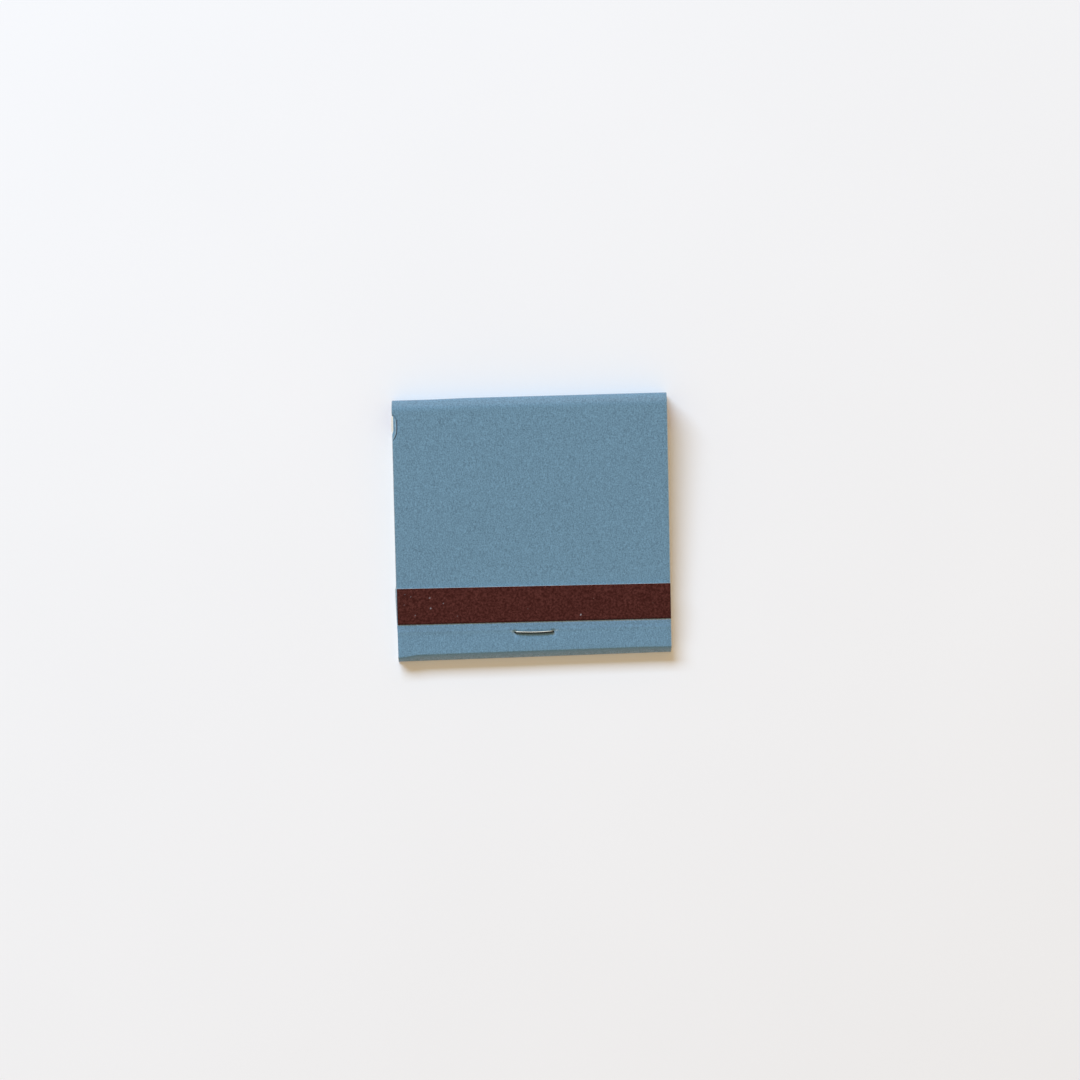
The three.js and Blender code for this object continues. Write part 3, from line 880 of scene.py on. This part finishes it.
class MATCHBOOK_OT_card(bpy.types.Operator):
    """Model the cover card in its two lengths, from the flap to the saddle and from the saddle to the tuck"""
    bl_idname = "matchbook.card"
    bl_label = "Cover card"

    def execute(self, context):
        card = settings().card
        finishes = (printed_card(), bare_card("card_inside", settings().colours.inside),
                    bare_card("card_core", settings().colours.core))
        self.flap_and_back(card, finishes)
        self.front(card, finishes)
        return {"FINISHED"}

    def flap_and_back(self, card, finishes):
        foot = front_face(FRONT_LOW.y)
        bottom = BACK_LOW.y - card.corner_beyond
        corners = [
            (flap_edge(), flap_face(flap_edge()), 0),
            (strip_foot(), flap_face(strip_foot()), card.ramp_reach),
            (WIRE_HIGH.y + card.staple_over + card.step_clear, foot, card.ramp_reach),
            (bottom + card.bottom_lean, foot, card.front_crease),
            (bottom + card.flare, card.flare_height, card.crease_reach),
            (bottom, 0, card.crease_reach),
            (SADDLE_HIGH.y, 0, card.crease_reach),
            (SADDLE_HIGH.y, SEAM_Z, 0),
        ]
        legs, fine = WIRE_HIGH.x, card.staple_row
        columns = stations(-HALF_WIDTH, HALF_WIDTH, card.row, [(-legs - 1.2, -legs + 1, fine),
                           (legs - 1, legs + 1.2, fine)])
        rows = [(staple_line() - 1.3, staple_line() + 1.3, fine)]
        piece = card_piece("cover_card_lower", finishes, corners, columns, rows, warp_flap_and_back)
        store_values(piece.data, "crack", lambda point: 0.0)
        # Painted highlights with thinned and rubbed ink at the staple's legs.
        store_values(piece.data, "light_and_wear", self.rubbed)
        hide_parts("cover_back")
        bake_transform(piece)

    def front(self, card, finishes):
        wear = settings().wear
        high = wear.dent_low + wear.dent_length
        tuck = FRONT_LOW.y
        corners = [
            (SADDLE_HIGH.y, SEAM_Z, 0),
            (SADDLE_HIGH.y, front_face(SADDLE_HIGH.y), card.fold_reach),
            (high + 0.2, front_face(high + 0.2), 0),
            (wear.dent_low - 0.2, front_face(wear.dent_low - 0.2), 0),
            (tuck, front_face(tuck), 0),
        ]
        left = -HALF_WIDTH
        columns = stations(left, HALF_WIDTH, card.row, [(left, left + 1.1, card.fine_row)])
        rows = [(wear.dent_low - 0.2, high + 0.2, card.fine_row)]
        piece = card_piece("cover_card_upper", finishes, corners, columns, rows, warp_front, crush_edge)
        # Painted shade in the crack, and a painted highlight with rubbed ink beside it.
        store_values(piece.data, "crack", lambda point: self.dent_marks(point)[0])
        store_values(piece.data, "light_and_wear", lambda point: self.dent_marks(point)[1])
        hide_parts("cover_saddle", "cover_front")
        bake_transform(piece)

    def dent_marks(self, point):
        """How dark the painted shade in the crack is here, and how strong the painted highlight with rubbed
        ink beside it is.
        """
        wear = settings().wear
        line = dent_line(point.y)
        if not line:
            return 0.0, 0.0
        inset = point.x + HALF_WIDTH
        share = (point.y - wear.dent_low) / wear.dent_length
        along = smooth(share, 0.02, 0.15) * smooth(share, 0.93, 0.66)
        crack = wear.crack_shade * along * smooth(abs(inset - line), wear.crack_half, 0.02)
        light_and_wear = wear.lip_highlight * along * smooth(abs(inset - line + 0.2), 0.16, 0.02)
        return crack, light_and_wear

    def rubbed(self, point):
        """Ink drawn thin where the legs of the staple go in, and rubbed in a short mark beyond each, both
        painted paler as highlights.
        """
        if point.z < 1.0:
            return 0.0
        beyond = abs(point.x) - WIRE_HIGH.x
        rise = point.y - staple_line() - 0.12 - 0.35 * beyond
        mark = smooth(abs(beyond - 0.35), 0.4, 0.1) * smooth(abs(rise), 0.2, 0.04)
        wear = settings().wear
        return max(wear.leg_highlight_and_thin_ink * pucker(point.x, point.y), wear.mark_highlight_and_rub * mark)


class MATCHBOOK_OT_striker(bpy.types.Operator):
    """Model the friction coat as a thin skin on the flap, with slightly uneven edges and a few chips"""
    bl_idname = "matchbook.striker"
    bl_label = "Striker coat"

    # Where the coat is chipped: across, up from its lower edge, radius in millimetres, and how bare it is
    CHIPS = ((-19.17, 4.84, 0.10, 0.5), (-16.67, 3.76, 0.09, 0.45), (-19.04, 2.89, 0.11, 0.6),
             (-21.98, 1.63, 0.08, 0.35), (-14.18, 1.28, 0.08, 0.3), (8.69, 1.1, 0.12, 0.8),
             (-23.8, 5.55, 0.07, 0.3), (-22.7, 5.1, 0.07, 0.3), (-23.95, 3.65, 0.08, 0.3))

    ROW = 0.15  # spacing of the skin's mesh
    INNER = 0.02  # how deep the skin is set into the card, and how far it stops short of the free edge
    SHORT = 0.04  # how far it stops short of the card's right edge

    def execute(self, context):
        corners = [(flap_edge() - self.INNER, flap_face(flap_edge()) - self.INNER, 0),
                   (strip_foot(), flap_face(strip_foot()) - self.INNER, 0)]
        bm = bmesh.new()
        draw_profile(bm, corners, self.ROW)
        sweep(bm, stations(-STRIP_HIGH.x, HALF_WIDTH - self.SHORT, self.ROW))
        face_outward(bm, Vector((0, 0, 1)))
        for vert in bm.verts:
            vert.co = self.fit_to_flap(vert.co.copy())
        piece = make_piece(bm, "striker_coat", MM)
        piece.data.materials.append(striker_coat())
        solid = piece.modifiers.new("thickness", "SOLIDIFY")
        solid.thickness = (settings().card.coat + self.INNER) * MM
        solid.offset = 1
        apply_modifiers(piece)
        store_values(piece.data, "chip", self.chip)
        store_values(piece.data, "rim", self.rim)
        shade(piece.data)
        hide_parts("striker_strip")
        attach(piece, "book")
        return {"FINISHED"}

    def fit_to_flap(self, true):
        """Follows the warped flap, keeps clear of its tapering left side and roughens the two long edges."""
        wear = settings().wear
        height = (true.y - strip_foot()) / (flap_edge() - strip_foot())
        edge = 1 - 2 * abs(height - 0.5)
        moved = warp_card(true, True)
        moved.x += smooth(true.x, 0.0, -HALF_WIDTH) * wear.coat_taper * smooth(height, 0.0, 1.0)
        wander = noise.noise(Vector((true.x / 0.5, height, 3.0)))
        moved.y += wear.coat_ragged * smooth(edge, 0.08, 0.0) * wander
        return moved

    def rim(self, point):
        """How much darker the coat is here, along its lower edge."""
        foot = warp_card(Vector((point.x, strip_foot(), point.z)), True).y
        return settings().wear.coat_foot_dark * smooth(point.y - foot, 0.3, 0.12)

    def chip(self, point):
        """How bare the coat is chipped here."""
        rise = point.y - strip_foot()
        return max(bareness * smooth(math.hypot(point.x - x, rise - y), 1.5 * radius, 0.5 * radius)
                   for x, y, radius, bareness in self.CHIPS)


class MATCHBOOK_OT_staple(bpy.types.Operator):
    """Model the staple: one length of round wire, its crown on the flap and its legs clinched on the back"""
    bl_idname = "matchbook.staple"
    bl_label = "Staple"

    def execute(self, context):
        wire = settings().wire
        leg = WIRE_HIGH.x - wire.radius - wire.leg_inset
        low = WIRE_LOW.z + wire.radius
        top = WIRE_HIGH.z - wire.radius
        bm = bmesh.new()
        tip = leg - wire.clinch
        turn = Matrix.Translation((-tip, 0, low)) @ Matrix.Rotation(-math.pi / 2, 4, "Y")
        bmesh.ops.create_circle(bm, cap_ends=True, segments=wire.sides, radius=wire.radius, matrix=turn)
        ring = list(bm.edges)
        straight = leg - wire.bend
        ring = self.run(bm, ring, (-(straight - tip), 0, 0), 4)
        ring = self.bend(bm, ring, (-straight, 0, low + wire.bend))
        ring = self.run(bm, ring, (0, 0, top - low - 2 * wire.bend), 4)
        ring = self.bend(bm, ring, (-straight, 0, top - wire.bend))
        ring = self.run(bm, ring, (2 * straight, 0, 0), wire.crown_steps)
        ring = self.bend(bm, ring, (straight, 0, top - wire.bend))
        ring = self.run(bm, ring, (0, 0, -(top - low - 2 * wire.bend)), 4)
        ring = self.bend(bm, ring, (straight, 0, low + wire.bend))
        ring = self.run(bm, ring, (-(straight - tip), 0, 0), 4)
        bmesh.ops.edgeloop_fill(bm, edges=ring)
        bmesh.ops.remove_doubles(bm, verts=bm.verts, dist=1e-4)
        bmesh.ops.recalc_face_normals(bm, faces=bm.faces)
        ends = [edge for edge in bm.edges if edge.calc_face_angle() > 1.2]
        bmesh.ops.bevel(bm, geom=ends, offset=0.05, offset_type="OFFSET", segments=2, profile=0.5,
                        affect="EDGES", material=-1)
        for vert in bm.verts:
            vert.co = self.handled(vert.co.copy(), leg, top)
        piece = make_piece(bm, "staple_wire", MM)
        piece.data.materials.append(stapling_wire())
        shade(piece.data, 50.0)
        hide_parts("staple")
        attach(piece, "book")
        return {"FINISHED"}

    def run(self, bm, ring, course, steps):
        """Draws the ring out in a straight line, in equal steps."""
        for _ in range(steps):
            ring = draw_out(bm, ring, Vector(course) / steps)
        return ring

    def bend(self, bm, ring, centre):
        """Turns the ring through a right angle about a line across the wire."""
        last = bmesh.ops.spin(bm, geom=ring, cent=centre, axis=(0, 1, 0), angle=math.pi / 2,
                              steps=settings().wire.bend_steps)["geom_last"]
        return [part for part in last if isinstance(part, bmesh.types.BMEdge)]

    def handled(self, point, leg, top):
        """Bows the crown, sets it at the staple line and presses its ends a little into the card."""
        wire = settings().wire
        along = min(abs(point.x) / leg, 1.0)
        if point.z > top - 2 * wire.radius:
            point.y -= wire.bow * (1 - along ** 2)
            point.z -= settings().wear.seat + wire.end_sink * along ** 8
        point.y += staple_line() + wire.bow / 2
        return point


class MATCHBOOK_OT_combs(bpy.types.Operator):
    """Finish the two combs of match stems as pulp board"""
    bl_idname = "matchbook.combs"
    bl_label = "Match combs"

    def execute(self, context):
        board = match_board()
        for name in COMBS:
            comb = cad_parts[name]
            comb.data.materials.clear()
            comb.data.materials.append(board)
        return {"FINISHED"}


class MATCHBOOK_OT_heads(bpy.types.Operator):
    """Model each dipped head as a lumpy bead round the end of its stem"""
    bl_idname = "matchbook.heads"
    bl_label = "Match heads"

    APART = 17.0  # how far apart the heads' patterns of lumps are taken, so that no two are alike

    def execute(self, context):
        compound = head_compound()
        for number, name in enumerate(HEADS):
            piece = self.bead(name)
            self.roughen(piece.data, self.APART * number)
            piece.data.materials.append(compound)
            piece.data.shade_smooth()
            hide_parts(name)
            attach(piece, "book")
        return {"FINISHED"}

    def bead(self, name):
        """The head's outer form without its socket, meshed evenly and smoothed."""
        sizes = settings().head
        bm = bmesh.new()
        bm.from_mesh(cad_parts[name].data)
        bmesh.ops.remove_doubles(bm, verts=bm.verts, dist=1e-6)
        hull = bmesh.ops.convex_hull(bm, input=bm.verts)
        kept = {part for part in hull["geom"] if isinstance(part, bmesh.types.BMFace)}
        bmesh.ops.delete(bm, geom=[face for face in bm.faces if face not in kept], context="FACES")
        bmesh.ops.delete(bm, geom=[vert for vert in bm.verts if not vert.link_faces], context="VERTS")
        piece = make_piece(bm, "match_" + name)
        even = piece.modifiers.new("even", "REMESH")
        even.mode = "VOXEL"
        even.voxel_size = sizes.voxel * MM
        soft = piece.modifiers.new("soft", "SMOOTH")
        soft.iterations = 2
        soft.factor = 0.5
        return apply_modifiers(piece)

    def roughen(self, mesh, seed):
        """Lifts soft lumps and fine grains out of the smooth bead, with no hollow deeper than a grain."""
        sizes = settings().head
        middle = sum((vert.co for vert in mesh.vertices), Vector()) / len(mesh.vertices)
        lifts = []
        for vert in mesh.vertices:
            place = vert.co / MM + Vector((seed, 0, 0))
            lump = max(0.0, sizes.lump * (noise.noise(place / sizes.lump_size) + 0.3))
            lifts.append(lump + sizes.grain * noise.noise(place / sizes.grain_size))
        normals = [vert.normal.copy() for vert in mesh.vertices]
        for vert, normal, lift in zip(mesh.vertices, normals, lifts):
            vert.co = middle + (vert.co - middle) * sizes.fullness + normal * lift * MM


class MATCHBOOK_OT_stage(bpy.types.Operator):
    """Lay a pale floor, set a soft window light and warm room light, and look straight down on the book"""
    bl_idname = "matchbook.stage"
    bl_label = "Studio"

    def execute(self, context):
        self.floor()
        self.lights(context)
        self.camera(context)
        context.scene.view_settings.view_transform = "Standard"
        return {"FINISHED"}

    def floor(self):
        bm = bmesh.new()
        bmesh.ops.create_grid(bm, x_segments=8, y_segments=8, size=settings().stage.floor_half)
        floor = make_piece(bm, "floor")
        floor.data.materials.append(pale_floor())
        floor.location.z = CAD_BOUNDS[0].z

    def lights(self, context):
        stage = settings().stage
        lamp = bpy.data.lights.new("window", "AREA")
        lamp.shape = "RECTANGLE"
        lamp.size = stage.window_long
        lamp.size_y = stage.window_short
        lamp.energy = stage.key_power
        lamp.color = stage.key_colour
        window = bpy.data.objects.new("window", lamp)
        context.scene.collection.objects.link(window)
        window.location = stage.window_place
        window.rotation_euler = (-math.atan2(window.location.y, window.location.z), 0, 0)
        window.visible_camera = False
        world = bpy.data.worlds.new("room")
        context.scene.world = world
        world.use_nodes = True
        tree = world.node_tree
        tree.nodes.clear()
        path = node(tree, "ShaderNodeLightPath")
        seen = path.outputs["Is Camera Ray"]
        for kind in ("Is Glossy Ray", "Is Transmission Ray"):
            seen = maths(tree, "MAXIMUM", seen, path.outputs[kind])
        shown = mix(tree, seen, rgba(stage.room_colour), rgba(settings().colours.floor))
        back = node(tree, "ShaderNodeBackground", {"Color": shown, "Strength": 1.0})
        end = node(tree, "ShaderNodeOutputWorld")
        tree.links.new(back.outputs[0], end.inputs["Surface"])

    def camera(self, context):
        stage = settings().stage
        data = bpy.data.cameras.new("camera")
        data.sensor_width = 36.0
        distance = stage.camera_height - CAD_BOUNDS[1].z
        data.lens = data.sensor_width * distance / stage.frame_width
        camera = bpy.data.objects.new("camera", data)
        context.scene.collection.objects.link(camera)
        camera.location = (stage.aside, stage.below, stage.camera_height)
        camera.rotation_euler = (0, 0, stage.roll)
        context.scene.camera = camera


class MatchbookSettings(bpy.types.PropertyGroup):
    """Everything that a user may change about the matchbook and its studio."""
    card: bpy.props.PointerProperty(type=MatchbookCard, name="Card", description="Sizes of the cover")
    wear: bpy.props.PointerProperty(type=MatchbookWear, name="Wear", description="Dents and skew")
    wire: bpy.props.PointerProperty(type=MatchbookWire, name="Wire", description="Sizes of the staple")
    head: bpy.props.PointerProperty(type=MatchbookHead, name="Head", description="Sizes of the heads")
    colours: bpy.props.PointerProperty(type=MatchbookColours, name="Colours", description="Finishes")
    stage: bpy.props.PointerProperty(type=MatchbookStage, name="Studio", description="Camera and lamps")


OPERATORS = (MATCHBOOK_OT_stage, MATCHBOOK_OT_card, MATCHBOOK_OT_striker, MATCHBOOK_OT_staple,
             MATCHBOOK_OT_combs, MATCHBOOK_OT_heads)


class MATCHBOOK_PT_panel(bpy.types.Panel):
    """Buttons that build the matchbook piece by piece"""
    bl_label = "Matchbook"
    bl_space_type = "VIEW_3D"
    bl_region_type = "UI"
    bl_category = "Matchbook"

    def draw(self, context):
        column = self.layout.column()
        for operator in OPERATORS:
            column.operator(operator.bl_idname)


CLASSES = (MatchbookCard, MatchbookWear, MatchbookWire, MatchbookHead, MatchbookColours, MatchbookStage,
           MatchbookSettings, *OPERATORS, MATCHBOOK_PT_panel)


def register():
    for each in CLASSES:
        bpy.utils.register_class(each)
    bpy.types.Scene.matchbook = bpy.props.PointerProperty(
        type=MatchbookSettings, name="Matchbook", description="Settings of the matchbook")


def unregister():
    del bpy.types.Scene.matchbook
    for each in reversed(CLASSES):
        bpy.utils.unregister_class(each)


def main():
    register()
    bpy.ops.matchbook.stage()
    bpy.ops.matchbook.card()
    bpy.ops.matchbook.striker()
    bpy.ops.matchbook.staple()
    bpy.ops.matchbook.combs()
    bpy.ops.matchbook.heads()


if __name__ == "__main__":
    main()
